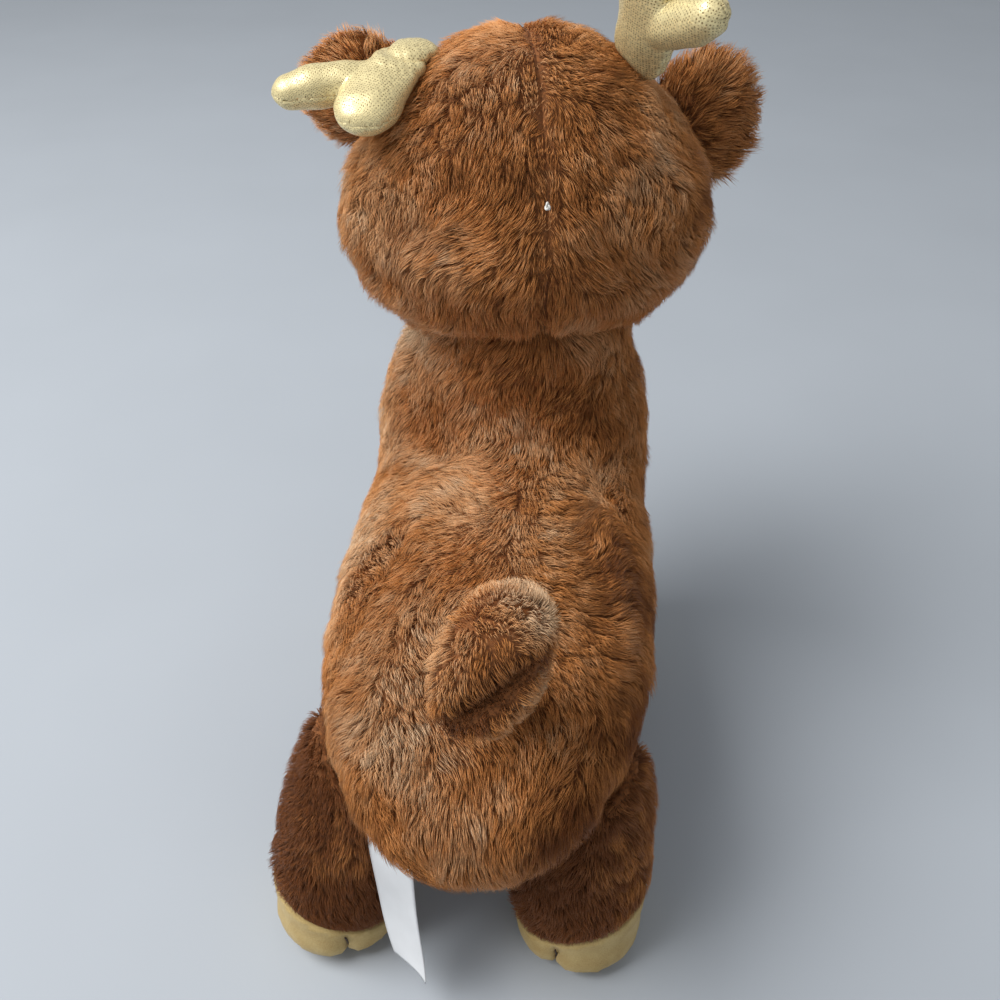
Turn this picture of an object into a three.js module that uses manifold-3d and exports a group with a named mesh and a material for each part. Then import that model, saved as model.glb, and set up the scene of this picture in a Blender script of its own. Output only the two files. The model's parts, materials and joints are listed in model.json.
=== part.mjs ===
// A standing plush deer with sewn fur panels, stuffed limbs, velour hooves and gold antlers.
// Millimetres, +Z up, the face towards -Y and the tail towards +Y; the deer's left is +X.
import * as THREE from 'three';
import { mergeVertices } from 'three/addons/utils/BufferGeometryUtils.js';
import Module from 'manifold-3d';

const wasm = await Module();
wasm.setup();

// Cloth, thread and clearances
const furCloth = 5; // backing with its pile laid down
const velourCloth = 1.6;
const lameCloth = 1.2;
const liningCloth = 2;
const threadRadius = 0.6;
const seamGap = 0.3; // between pieces that are sewn together
const hingeGap = 0.45; // between pieces that bend on each other
const weld = 1e-4; // vertices nearer than this are one

// Body, from its middle plane and its rump
const bodyLength = 267;
const bodyHalfWidth = 72;
const bodyHalfHeight = 56;
const bodyMidHeight = 113;
const rumpY = 143;
const bodyX = 5; // the body stands this far to the left of the head's middle
const bellyPanelHalfWidth = 30;
const neckHalfWidth = 66;
const neckHalfDepth = 46;
const neckInset = 48; // from the chest's front to the middle of the neck
const neckRise = 94; // of the neck's pivot above the body's middle
const neckBallRadius = 49;
const neckBallGap = 0.5; // clears the flats of the ball as it turns

// Head, measured from the neck pivot
const headHeight = 126;
const headHalfWidth = 79;
const headHalfDepth = 63;
const headDrop = 6; // how far the cheeks hang below the neck pivot
const headTurn = THREE.MathUtils.degToRad(12);
const muzzleLength = 66;
const muzzleHalfWidth = 33;
const muzzleHalfHeight = 27;
const muzzleHeight = 32;

// Face: places run along a form's spine, and angles round it from its width
const eyeRadius = 7;
const eyeRise = 5;
const eyeSeat = 2;
const eyePlaceShare = 0.53;
const eyeAngle = 0.9;
const noseHalfWidth = 11;
const noseWidthShare = 1.15; // its width over its height
const noseRise = 7;
const noseSeat = 1;
const nosePlaceShare = 0.93;
const mouthPlaceShare = 0.854;
const mouthTurnShares = [-0.75, -0.69, -0.625, -0.56, -0.5, -0.44, -0.375, -0.31, -0.25];
const stemRadius = 2;
const stemOverrun = 2;
const washerRadius = 6;
const washerThickness = 1.5;

// Ears, antlers and tail
const earLength = 54;
const earHalfWidth = 29;
const earHalfThickness = 6.5;
const leftEarTuck = 12; // how much of an ear's root lies inside the head
const rightEarTuck = 22;
const leftEarLean = THREE.MathUtils.degToRad(24);
const antlerLength = 57;
const antlerHalfWidth = 14;
const antlerHalfThickness = 8.5;
const antlerTuck = 6;
const tineLength = 40;
const tineHalfWidth = 9;
const tineHeight = 20;
const tailLength = 87;
const tailHalfWidth = 18;
const tailHalfThickness = 12;
const tailTuck = 9;
const tailX = -11; // from the body's middle plane
const tailPlaceShare = 0.14;

// Legs: hips and feet from the body's middle plane
const legHalfWidth = 32;
const legHalfDepth = 31;
const legTop = 38; // how far a leg rises above its hip pivot
const soleCut = 7; // how much of the round foot is pressed flat
const hoofHeight = 26;
const hoofSlope = THREE.MathUtils.degToRad(10); // how much higher its seam stands behind
const hoofLean = THREE.MathUtils.degToRad(22); // how much higher its seam stands on the outer side
const cleftTurn = THREE.MathUtils.degToRad(22.5); // from straight behind towards the other leg
const cleftPlaceShares = [0.84, 0.875, 0.91, 0.933, 0.945];
const rearHipInset = 65; // from the rump
const rearHipDrop = 25; // below the body's middle
const rearLeftHipX = 45;
const rearLeftFootX = 63;
const rearLeftFootReach = 24; // behind its hip
const rearRightHipX = -41;
const rearRightFootX = -45;
const rearRightFootReach = 20;
const frontHipReach = 4; // behind the neck's middle
const frontHipDrop = 29;
const frontHipX = 36;
const frontFootX = 42;
const frontFootReach = -8;

// Sewn-in label
const labelWidth = 20;
const labelLength = 70;
const labelThickness = 0.6;
const labelTuck = 12; // how much of it is cut away along the seam that holds it
const labelReach = 15; // how far its free end stands behind its sewn end
const labelLean = THREE.MathUtils.degToRad(9);
const labelPlaceShare = 0.09;
const labelAngle = -0.75;

// How far each seam bends about its own X or Z axis, from rest
const legSwing = degrees(-8, 8);
const headNod = degrees(-6, 6);
const earFlap = degrees(-8, 8);
const antlerBend = degrees(-8, 8);
const tailFlap = degrees(-10, 10);
const labelSwing = degrees(-8, 40);

const colours = {
  brownFur: 0x7d4a28,
  stuffing: 0xf2f0ea,
  beigeVelour: 0xc9ae7e,
  goldLame: 0xcdb56a,
  blackPlastic: 0x14110f,
  whitePlastic: 0xe8e6e0,
  brownThread: 0x3c2414,
  whiteSatin: 0xf4f4f2,
};

function degrees(least, most) {
  return [THREE.MathUtils.degToRad(least), THREE.MathUtils.degToRad(most)];
}

const alongX = new THREE.Vector3(1, 0, 0);
const alongY = new THREE.Vector3(0, 1, 0);
const alongZ = new THREE.Vector3(0, 0, 1);
const far = 4 * bodyLength; // the reach of every cutting block

// The solid inside a geometry whose faces share their vertices
function filled(geometry) {
  const mesh = new wasm.Mesh({
    numProp: 3,
    vertProperties: new Float32Array(geometry.getAttribute('position').array),
    triVerts: new Uint32Array(geometry.index.array),
  });
  return new wasm.Manifold(mesh);
}

// Turns any closed geometry into a solid that can be joined and cut
function toSolid(geometry) {
  const bare = geometry.clone();
  bare.deleteAttribute('normal');
  bare.deleteAttribute('uv');
  return filled(mergeVertices(bare, weld));
}

function toGeometry(solid) {
  const { vertProperties, triVerts } = solid.getMesh();
  const geometry = new THREE.BufferGeometry();
  geometry.setAttribute('position', new THREE.BufferAttribute(new Float32Array(vertProperties), 3));
  geometry.setIndex(new THREE.BufferAttribute(new Uint32Array(triVerts), 1));
  return geometry;
}

function moved(solid, matrix) {
  return filled(toGeometry(solid).applyMatrix4(matrix));
}

function joined(solids) {
  return solids.reduce((whole, solid) => whole.add(solid));
}

// A share that runs smoothly through equally spaced ones
function track(shares, place) {
  const points = shares.map((share, step) => new THREE.Vector2(step, share));
  return new THREE.SplineCurve(points).getPoint(place).y;
}

// The frame of a form's ring: its centre, its width direction and its depth direction
function ringFrame(form, place) {
  const curve = new THREE.CatmullRomCurve3(form.spine, false, 'centripetal');
  const centre = curve.getPointAt(place);
  const tangent = curve.getTangentAt(place);
  const deep = tangent.clone().cross(form.across).normalize();
  const side = deep.clone().cross(tangent).normalize();
  return { centre, tangent, deep, side, length: curve.getLength() };
}

// A point on a form's surface: place runs along its spine and angle from its width to its depth
function pointOn(form, place, angle, inset = 0) {
  const { length } = ringFrame(form, 0);
  const trimmed = inset / length + place * (1 - (2 * inset) / length);
  const held = THREE.MathUtils.clamp(trimmed, 0, 1);
  const frame = ringFrame(form, held);
  const swell = Math.pow(4 * place * (1 - place), form.bluntness / 2);
  const width = (form.halfWidth * track(form.widthShares, held) - inset) * swell;
  const depth = (form.halfDepth * track(form.depthShares, held) - inset) * swell;
  return frame.centre
    .addScaledVector(frame.tangent, length * (trimmed - held))
    .addScaledVector(frame.side, width * Math.cos(angle))
    .addScaledVector(frame.deep, depth * Math.sin(angle));
}

// The outward direction at a point on a form's surface
function outwardOn(form, place, angle) {
  const stepShare = 0.01;
  const here = pointOn(form, place, angle);
  const along = pointOn(form, place + stepShare, angle).sub(here);
  const round = pointOn(form, place, angle + stepShare).sub(here);
  return round.cross(along).normalize();
}

// A stuffed form: a sphere drawn out along a spine, whose rings swell and taper
function stuffed(form, inset = 0) {
  const geometry = new THREE.SphereGeometry(1, form.sides, form.rings);
  const position = geometry.getAttribute('position');
  const unit = new THREE.Vector3();
  for (let i = 0; i < position.count; i += 1) {
    unit.fromBufferAttribute(position, i);
    const place = THREE.MathUtils.clamp((1 - unit.y) / 2, 0, 1);
    const point = pointOn(form, place, Math.atan2(unit.z, unit.x), inset);
    position.setXYZ(i, point.x, point.y, point.z);
  }
  return toSolid(geometry);
}

// A large block that keeps one side of a plane
function halfSpace(point, normal) {
  const block = new THREE.BoxGeometry(far, far, far);
  block.translate(0, 0, far / 2);
  const facing = new THREE.Quaternion().setFromUnitVectors(alongZ, normal.clone().normalize());
  block.applyQuaternion(facing);
  block.translate(point.x, point.y, point.z);
  return toSolid(block);
}

// The two parts of a solid on both sides of a plane, a seam's gap apart
function splitAt(solid, point, normal) {
  const unit = normal.clone().normalize();
  const front = point.clone().addScaledVector(unit, seamGap / 2);
  const back = point.clone().addScaledVector(unit, -seamGap / 2);
  return [
    solid.intersect(halfSpace(front, unit)),
    solid.intersect(halfSpace(back, unit.clone().negate())),
  ];
}

// The space that fixed solids take, seen from a piece that bends about its own origin
function sweptAway(fixed, pose, axis, [least, most]) {
  const seen = moved(fixed, pose.clone().invert());
  const turns = [-most, 0, -least];
  return joined(turns.map((turn) => moved(seen, new THREE.Matrix4().makeRotationAxis(axis, turn))));
}

function largestOf(solid) {
  const bodies = solid.decompose();
  return bodies.reduce((best, body) => (body.volume() > best.volume() ? body : best));
}

function sewn(name, solid, colour, look = {}) {
  const cloth = { color: colour, roughness: 0.95, metalness: 0 };
  const material = new THREE.MeshStandardMaterial({ ...cloth, ...look });
  const mesh = new THREE.Mesh(toGeometry(largestOf(solid)), material);
  mesh.name = name;
  return mesh;
}

function thread(points) {
  const outline = new THREE.Shape().absarc(0, 0, threadRadius, 0, 2 * Math.PI, false);
  const path = new THREE.CatmullRomCurve3(points, false, 'centripetal');
  const options = { extrudePath: path, steps: points.length, curveSegments: 2, bevelEnabled: false };
  return toSolid(new THREE.ExtrudeGeometry(outline, options));
}

// Body and neck
const barrel = {
  spine: [
    new THREE.Vector3(bodyX, rumpY, bodyMidHeight - 0.05 * bodyHalfHeight),
    new THREE.Vector3(bodyX, rumpY - 0.35 * bodyLength, bodyMidHeight),
    new THREE.Vector3(bodyX, rumpY - 0.7 * bodyLength, bodyMidHeight + 0.05 * bodyHalfHeight),
    new THREE.Vector3(bodyX, rumpY - bodyLength, bodyMidHeight + 0.15 * bodyHalfHeight),
  ],
  across: alongX,
  halfWidth: bodyHalfWidth,
  widthShares: [0.9, 0.99, 1, 1.02, 1.08, 1.05],
  halfDepth: bodyHalfHeight,
  depthShares: [0.9, 1, 1, 1, 1.02, 1],
  bluntness: 0.8,
  sides: 20,
  rings: 10,
};

const neckY = rumpY - bodyLength + neckInset;
const neckPivot = new THREE.Vector3(0, neckY, bodyMidHeight + neckRise);

const neck = {
  spine: [
    new THREE.Vector3(bodyX, neckY + 0.25 * neckHalfDepth, bodyMidHeight - 0.6 * bodyHalfHeight),
    new THREE.Vector3(bodyX, neckY + 0.05 * neckHalfDepth, bodyMidHeight + 0.6 * bodyHalfHeight),
    new THREE.Vector3(0, neckY, neckPivot.z + 0.4 * neckBallRadius),
  ],
  across: alongX,
  halfWidth: neckHalfWidth,
  widthShares: [1.05, 1.06, 1.04, 0.98, 0.86],
  halfDepth: neckHalfDepth,
  depthShares: [1.1, 1.08, 1.02, 1, 0.98],
  bluntness: 0.5,
  sides: 16,
  rings: 7,
};

// The neck's round end, whose poles lie on the axis that the head nods about
function neckBall(inset) {
  const ball = new THREE.SphereGeometry(neckBallRadius - inset, 24, 8);
  ball.rotateZ(Math.PI / 2).rotateZ(headTurn);
  ball.translate(neckPivot.x, neckPivot.y, neckPivot.z);
  return toSolid(ball);
}

function torsoBelowNeck(inset) {
  return stuffed(barrel, inset).add(stuffed(neck, inset));
}

function torsoForm(inset) {
  return torsoBelowNeck(inset).add(neckBall(inset));
}

function bellyOutline(grow) {
  const reach = 0.36 * bodyLength + grow;
  const half = bellyPanelHalfWidth + grow;
  const shape = new THREE.Shape();
  shape.moveTo(0, -reach);
  shape.quadraticCurveTo(2 * half, 0, 0, reach);
  shape.quadraticCurveTo(-2 * half, 0, 0, -reach);
  const geometry = new THREE.ExtrudeGeometry(shape, {
    depth: bodyMidHeight - 0.52 * bodyHalfHeight + grow,
    curveSegments: 6,
    bevelEnabled: false,
  });
  geometry.translate(bodyX, rumpY - 0.52 * bodyLength, 0);
  return toSolid(geometry);
}

function torso() {
  const shell = torsoForm(0).subtract(torsoForm(furCloth));
  const belly = shell.intersect(bellyOutline(0));
  const sides = shell.subtract(bellyOutline(seamGap));
  const [left, right] = splitAt(sides, new THREE.Vector3(bodyX, 0, 0), alongX);
  return [
    sewn('torso_left_panel', left, colours.brownFur),
    sewn('torso_right_panel', right, colours.brownFur),
    sewn('belly_panel', belly, colours.brownFur),
    sewn('torso_stuffing', torsoForm(furCloth + seamGap), colours.stuffing),
  ];
}

// Head
const skull = {
  spine: [
    new THREE.Vector3(0, 0, -headDrop),
    new THREE.Vector3(0, -0.03 * headHalfDepth, 0.5 * headHeight),
    new THREE.Vector3(0, 0, headHeight),
  ],
  across: alongX,
  halfWidth: headHalfWidth,
  widthShares: [0.96, 1.01, 1.03, 0.94, 0.8, 0.62],
  halfDepth: headHalfDepth,
  depthShares: [0.98, 1, 1.02, 0.97, 0.88, 0.76],
  bluntness: 0.75,
  sides: 20,
  rings: 9,
};

const muzzleRootY = -0.54 * headHalfDepth;

const muzzle = {
  spine: [
    new THREE.Vector3(0, muzzleRootY, muzzleHeight),
    new THREE.Vector3(0, muzzleRootY - 0.55 * muzzleLength, 0.98 * muzzleHeight),
    new THREE.Vector3(0, muzzleRootY - muzzleLength, 0.9 * muzzleHeight),
  ],
  across: alongX,
  halfWidth: muzzleHalfWidth,
  widthShares: [1.1, 1.06, 1, 0.92],
  halfDepth: muzzleHalfHeight,
  depthShares: [1.1, 1.04, 1, 0.92],
  bluntness: 0.7,
  sides: 16,
  rings: 8,
};

const headPose = new THREE.Matrix4().makeRotationZ(headTurn).setPosition(neckPivot);

// How deep a washer lies under the seat of its button
function washerTop(cloth) {
  return -cloth - seamGap;
}

// A round button with its stem behind it, pointing along +Z from its seat
function button({ radius, rise, cloth }, grow = 0) {
  const stemEnd = washerTop(cloth) - washerThickness - stemOverrun;
  const profile = [
    new THREE.Vector2(0, stemEnd - grow),
    new THREE.Vector2(stemRadius + grow, stemEnd - grow),
    new THREE.Vector2(stemRadius + grow, -grow),
    new THREE.Vector2(radius + grow, -grow),
  ];
  for (const share of [0.25, 0.5, 0.75]) {
    const angle = share * (Math.PI / 2);
    profile.push(new THREE.Vector2((radius + grow) * Math.cos(angle), (rise + grow) * Math.sin(angle)));
  }
  profile.push(new THREE.Vector2(0, rise + grow));
  return new THREE.LatheGeometry(profile, 14).rotateX(Math.PI / 2);
}

function washer({ cloth }) {
  const bore = stemRadius + seamGap / 2;
  const high = washerTop(cloth);
  const low = high - washerThickness;
  const profile = [
    new THREE.Vector2(bore, low),
    new THREE.Vector2(washerRadius, low),
    new THREE.Vector2(washerRadius, high),
    new THREE.Vector2(bore, high),
    new THREE.Vector2(bore, low),
  ];
  return new THREE.LatheGeometry(profile, 14).rotateX(Math.PI / 2);
}

// The room that a washer takes in the stuffing
function washerRoom({ cloth }) {
  const room = new THREE.CylinderGeometry(
    washerRadius + seamGap,
    washerRadius + seamGap,
    washerThickness + 2 * seamGap,
    14,
  );
  room.rotateX(Math.PI / 2);
  room.translate(0, 0, washerTop(cloth) - washerThickness / 2);
  return room;
}

// Where a button sits: its seat on a form, and the direction that it faces
function seatMatrix(form, place, angle, seat, widthShare = 1) {
  const outward = outwardOn(form, place, angle);
  const point = pointOn(form, place, angle).addScaledVector(outward, -seat);
  const facing = new THREE.Quaternion().setFromUnitVectors(alongZ, outward);
  return new THREE.Matrix4()
    .makeRotationFromQuaternion(facing)
    .setPosition(point)
    .scale(new THREE.Vector3(widthShare, 1, 1));
}

function faceSeats() {
  const eye = { radius: eyeRadius, rise: eyeRise, cloth: furCloth };
  return {
    eye_left: { ...eye, matrix: seatMatrix(skull, eyePlaceShare, -eyeAngle, eyeSeat) },
    eye_right: { ...eye, matrix: seatMatrix(skull, eyePlaceShare, eyeAngle - Math.PI, eyeSeat) },
    nose: {
      radius: noseHalfWidth,
      rise: noseRise,
      cloth: velourCloth,
      matrix: seatMatrix(muzzle, nosePlaceShare, Math.PI / 2, noseSeat, noseWidthShare),
    },
  };
}

function head(torsoSpace) {
  const seats = faceSeats();
  const placed = (geometry, seat) => toSolid(geometry.applyMatrix4(seat.matrix));
  const room = joined(Object.values(seats).map((seat) => joined([
    placed(button(seat, seamGap), seat),
    placed(washerRoom(seat), seat),
  ])));
  const cut = (solid) => solid.subtract(torsoSpace).subtract(room);
  const fur = stuffed(skull).subtract(stuffed(skull, furCloth)).subtract(stuffed(muzzle, -seamGap));
  const velour = stuffed(muzzle).subtract(stuffed(muzzle, velourCloth)).subtract(stuffed(skull));
  const filling = stuffed(skull, furCloth + seamGap).add(stuffed(muzzle, velourCloth + seamGap));
  const [left, right] = splitAt(cut(fur), new THREE.Vector3(), alongX);
  const mouth = mouthTurnShares.map((share) => (
    pointOn(muzzle, mouthPlaceShare, share * Math.PI, -seamGap - threadRadius)
  ));
  const meshes = [
    sewn('head_left_panel', left, colours.brownFur),
    sewn('head_right_panel', right, colours.brownFur),
    sewn('muzzle_panel', cut(velour), colours.beigeVelour),
    sewn('head_stuffing', cut(filling), colours.stuffing),
    sewn('mouth_stitch', thread(mouth), colours.brownThread),
  ];
  for (const [name, seat] of Object.entries(seats)) {
    meshes.push(sewn(name, placed(button(seat), seat), colours.blackPlastic, { roughness: 0.15 }));
    const held = placed(washer(seat), seat);
    meshes.push(sewn(`${name}_washer`, held, colours.whitePlastic, { roughness: 0.4 }));
  }
  return meshes;
}

// Ears, sewn on before the middle of the head's sides: the right one sits lower, the left one leans back
const earSeats = {
  ear_left: { side: 1, placeShare: 0.74, angle: -0.65, lean: leftEarLean, tuck: leftEarTuck },
  ear_right: { side: -1, placeShare: 0.66, angle: -0.2, lean: 0, tuck: rightEarTuck },
};

function earForm({ side, tuck }) {
  return {
    spine: [
      new THREE.Vector3(-side * tuck, 0, 0),
      new THREE.Vector3(side * (0.5 * earLength - tuck), 0.04 * earLength, 0.02 * earLength),
      new THREE.Vector3(side * (earLength - tuck), -0.02 * earLength, 0.06 * earLength),
    ],
    across: alongZ,
    halfWidth: earHalfWidth,
    widthShares: [0.62, 0.9, 1.05, 1, 0.8],
    halfDepth: earHalfThickness,
    depthShares: [0.9, 1, 1, 1, 0.9],
    bluntness: 0.75,
    sides: 10,
    rings: 6,
  };
}

function earPose({ side, placeShare, angle, lean }) {
  const root = pointOn(skull, placeShare, side > 0 ? angle : Math.PI - angle);
  return new THREE.Matrix4().makeRotationX(-lean).setPosition(root);
}

function ear(name, seat, headSpace) {
  const form = earForm(seat);
  const space = sweptAway(headSpace, earPose(seat), alongZ, earFlap);
  const middle = pointOn(form, 0.5, 0).lerp(pointOn(form, 0.5, Math.PI), 0.5);
  const leaning = ringFrame(form, 0.5).deep.clone();
  if (leaning.y > 0) leaning.negate();
  const seam = middle.addScaledVector(leaning, earHalfThickness - liningCloth);
  const [lining, back] = splitAt(stuffed(form).subtract(space), seam, leaning);
  return [
    sewn(`${name}_back`, back, colours.brownFur),
    sewn(`${name}_lining`, lining, colours.beigeVelour),
  ];
}

// Antlers: where each is sewn on, how far its stem bows, and the ways its stem and its side tine point
const antlerSeats = {
  antler_left: {
    side: 1,
    placeShare: 0.895,
    angle: -0.25,
    bowShare: 0.085,
    tineRiseShare: 0.75,
    rise: new THREE.Vector3(0.58, 0.76, -0.28), // it lies back and outward
    outward: new THREE.Vector3(0.81, -0.56, 0.15),
  },
  antler_right: {
    side: -1,
    placeShare: 0.885,
    angle: 0.05,
    bowShare: 0.085,
    tineRiseShare: 0.7,
    rise: new THREE.Vector3(0.1, 0.44, 0.89), // it stands up
    outward: new THREE.Vector3(-0.53, 0.78, -0.33),
  },
};

function antlerForms({ side, bowShare, tineRiseShare }) {
  const bow = side * bowShare * antlerLength;
  const tineRise = tineRiseShare * tineLength;
  const stem = {
    spine: [
      new THREE.Vector3(0, 0, -antlerTuck),
      new THREE.Vector3(0.9 * bow, 0, 0.26 * antlerLength),
      new THREE.Vector3(0.95 * bow, 0, 0.58 * antlerLength),
      new THREE.Vector3(-0.1 * bow, 0, antlerLength - antlerTuck),
    ],
    across: alongX,
    halfWidth: antlerHalfWidth,
    widthShares: [0.8, 1.02, 0.94, 0.98, 1.08, 1],
    halfDepth: antlerHalfThickness,
    depthShares: [0.9, 1, 1, 1, 1.05, 1],
    bluntness: 0.6,
    sides: 10,
    rings: 7,
  };
  const tine = {
    spine: [
      new THREE.Vector3(0.8 * bow, 0, 0.9 * tineHeight),
      new THREE.Vector3(side * 0.55 * tineLength, 0, tineHeight + 0.4 * tineRise),
      new THREE.Vector3(side * tineLength, 0, tineHeight + tineRise),
    ],
    across: alongZ,
    halfWidth: tineHalfWidth,
    widthShares: [1.1, 1, 1, 1],
    halfDepth: 0.94 * tineHalfWidth,
    depthShares: [1, 1, 1, 1],
    bluntness: 0.6,
    sides: 8,
    rings: 5,
  };
  return [stem, tine];
}

function antlerPose({ side, placeShare, angle, rise, outward }) {
  const root = pointOn(skull, placeShare, side > 0 ? angle : Math.PI - angle);
  const up = rise.clone().normalize();
  const out = outward.clone().addScaledVector(up, -outward.dot(up)).normalize();
  out.multiplyScalar(side);
  return new THREE.Matrix4().makeBasis(out, up.clone().cross(out), up).setPosition(root);
}

function antler(name, seat, headSpace) {
  const space = sweptAway(headSpace, antlerPose(seat), alongX, antlerBend);
  const whole = (inset) => joined(antlerForms(seat).map((form) => stuffed(form, inset)));
  const shell = whole(0).subtract(whole(lameCloth)).subtract(space);
  const [back, front] = splitAt(shell, new THREE.Vector3(), alongY);
  const shine = { roughness: 0.35, metalness: 0.8 };
  return [
    sewn(`${name}_front`, front, colours.goldLame, shine),
    sewn(`${name}_back`, back, colours.goldLame, shine),
    sewn(`${name}_stuffing`, whole(lameCloth + seamGap).subtract(space), colours.stuffing),
  ];
}

// Legs
function legForm(hipToFoot) {
  const drop = hipToFoot.z - soleCut;
  return {
    spine: [
      new THREE.Vector3(-0.32 * hipToFoot.x, -0.1 * hipToFoot.y, legTop),
      new THREE.Vector3(0, 0, 0),
      new THREE.Vector3(0.75 * hipToFoot.x, 0.7 * hipToFoot.y, 0.55 * hipToFoot.z),
      new THREE.Vector3(hipToFoot.x, hipToFoot.y, drop),
    ],
    across: alongX,
    halfWidth: legHalfWidth,
    widthShares: [0.9, 1, 1.02, 1, 1.02, 1.04],
    halfDepth: legHalfDepth,
    depthShares: [0.95, 1.05, 1.02, 0.98, 1.02, 1.06],
    bluntness: 0.3,
    sides: 16,
    rings: 6,
  };
}

function leg(name, hip, foot, torsoInflated) {
  const hipToFoot = foot.clone().sub(hip);
  const form = legForm(hipToFoot);
  const pose = new THREE.Matrix4().setPosition(hip);
  const space = sweptAway(torsoInflated, pose, alongX, legSwing);
  const floor = hipToFoot.z;
  const above = (height) => halfSpace(new THREE.Vector3(0, 0, floor + height), alongZ);
  const inner = stuffed(form, furCloth).intersect(above(velourCloth));
  const seamPoint = new THREE.Vector3(hipToFoot.x, hipToFoot.y, floor + hoofHeight);
  const side = Math.sign(hipToFoot.x + hip.x - bodyX);
  const seamNormal = new THREE.Vector3(-side * Math.tan(hoofLean), -Math.tan(hoofSlope), 1);
  const [fur] = splitAt(stuffed(form).subtract(inner), seamPoint, seamNormal);
  const hoofOuter = stuffed(form, furCloth - velourCloth).intersect(above(0));
  const [, hoof] = splitAt(hoofOuter.subtract(inner), seamPoint, seamNormal);
  const filling = stuffed(form, furCloth + seamGap).intersect(above(velourCloth + seamGap));
  const threadInset = furCloth - velourCloth - seamGap - threadRadius;
  const cleftAngle = -Math.PI / 2 - side * cleftTurn;
  const cleft = cleftPlaceShares.map((share) => pointOn(form, share, cleftAngle, threadInset));
  return [
    sewn(`${name}_fur`, fur.subtract(space), colours.brownFur),
    sewn(`${name}_hoof`, hoof, colours.beigeVelour),
    sewn(`${name}_stuffing`, filling.subtract(space), colours.stuffing),
    sewn(`${name}_cleft_stitch`, thread(cleft), colours.brownThread),
  ];
}

// Tail: a stem that stands up, and a curl that hangs from its top towards the back
const tailStem = {
  spine: [
    new THREE.Vector3(0, -tailTuck, -0.06 * tailLength),
    new THREE.Vector3(0, 0, 0.25 * tailLength),
    new THREE.Vector3(-0.04 * tailLength, 0.01 * tailLength, 0.58 * tailLength),
    new THREE.Vector3(-0.07 * tailLength, 0.1 * tailLength, 0.84 * tailLength),
  ],
  across: alongX,
  halfWidth: tailHalfWidth,
  widthShares: [0.72, 0.9, 1, 1, 0.96],
  halfDepth: tailHalfThickness,
  depthShares: [1, 1, 1, 1, 1],
  bluntness: 0.6,
  sides: 12,
  rings: 7,
};

const tailCurl = {
  spine: [
    new THREE.Vector3(-0.06 * tailLength, 0, 0.68 * tailLength),
    new THREE.Vector3(-0.05 * tailLength, 0.21 * tailLength, 0.78 * tailLength),
    new THREE.Vector3(0.02 * tailLength, 0.33 * tailLength, 0.66 * tailLength),
    new THREE.Vector3(0.11 * tailLength, 0.37 * tailLength, 0.4 * tailLength),
  ],
  across: new THREE.Vector3(1, 0, 0.25),
  halfWidth: tailHalfWidth,
  widthShares: [0.9, 1, 1.02, 1, 0.96],
  halfDepth: tailHalfThickness,
  depthShares: [0.9, 0.95, 1, 1, 0.95],
  bluntness: 0.6,
  sides: 12,
  rings: 7,
};

function tailForm(inset) {
  return stuffed(tailStem, inset).add(stuffed(tailCurl, inset));
}

// The room inside the curl, up to the seam that runs round the tail's edge
function tailHollow(grow) {
  const rise = [0, 0.3, 0.6].map((place) => ringFrame(tailStem, place).centre);
  const fall = [0.3, 0.5, 0.7, 0.9].map((place) => ringFrame(tailCurl, place).centre);
  const shape = new THREE.Shape();
  shape.moveTo(-grow, -far);
  for (const point of [...rise, fall[0]]) shape.lineTo(point.y - grow, point.z + grow);
  for (const point of fall) shape.lineTo(point.y + grow, point.z + grow);
  shape.lineTo(fall[3].y + grow, -far);
  shape.closePath();
  const geometry = new THREE.ExtrudeGeometry(shape, { depth: 2 * far, bevelEnabled: false });
  geometry.translate(0, 0, -far);
  geometry.applyMatrix4(new THREE.Matrix4().makeBasis(alongY, alongZ, alongX));
  return toSolid(geometry);
}

const tailRoot = pointOn(barrel, tailPlaceShare, Math.PI / 2).setX(bodyX + tailX);
const tailPose = new THREE.Matrix4().setPosition(tailRoot);

function tailPieces(torsoInflated) {
  const space = sweptAway(torsoInflated, tailPose, alongX, tailFlap);
  const shell = tailForm(0).subtract(tailForm(furCloth)).subtract(space);
  return [
    sewn('tail_upper_panel', shell.subtract(tailHollow(seamGap)), colours.brownFur),
    sewn('tail_lower_panel', shell.intersect(tailHollow(0)), colours.brownFur),
    sewn('tail_stuffing', tailForm(furCloth + seamGap).subtract(space), colours.stuffing),
  ];
}

// Label: a satin strip sewn in under the rump, which hangs and curves back a little
const labelPose = new THREE.Matrix4()
  .makeRotationY(labelLean)
  .setPosition(pointOn(barrel, labelPlaceShare, labelAngle, -seamGap));

function label(torsoInflated) {
  const half = labelThickness / 2;
  const fall = labelLength - 0.5 * labelReach;
  const band = new THREE.Shape();
  band.moveTo(labelTuck, -half);
  band.lineTo(0, -half);
  band.quadraticCurveTo(-0.6 * fall, -half, -fall, labelReach - half);
  band.lineTo(-fall, labelReach + half);
  band.quadraticCurveTo(-0.6 * fall, half, 0, half);
  band.lineTo(labelTuck, half);
  band.closePath();
  const strip = new THREE.ExtrudeGeometry(band, {
    depth: labelWidth,
    curveSegments: 6,
    bevelEnabled: false,
  });
  strip.translate(0, 0, -0.5 * labelWidth);
  strip.applyMatrix4(new THREE.Matrix4().makeBasis(alongZ, alongY, alongX.clone().negate()));
  const space = sweptAway(torsoInflated, labelPose, alongX, labelSwing);
  return [sewn('care_label', toSolid(strip).subtract(space), colours.whiteSatin, { roughness: 0.5 })];
}

function group(matrix, meshes) {
  const made = new THREE.Group();
  made.applyMatrix4(matrix);
  if (meshes.length) made.add(...meshes);
  return made;
}

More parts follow.
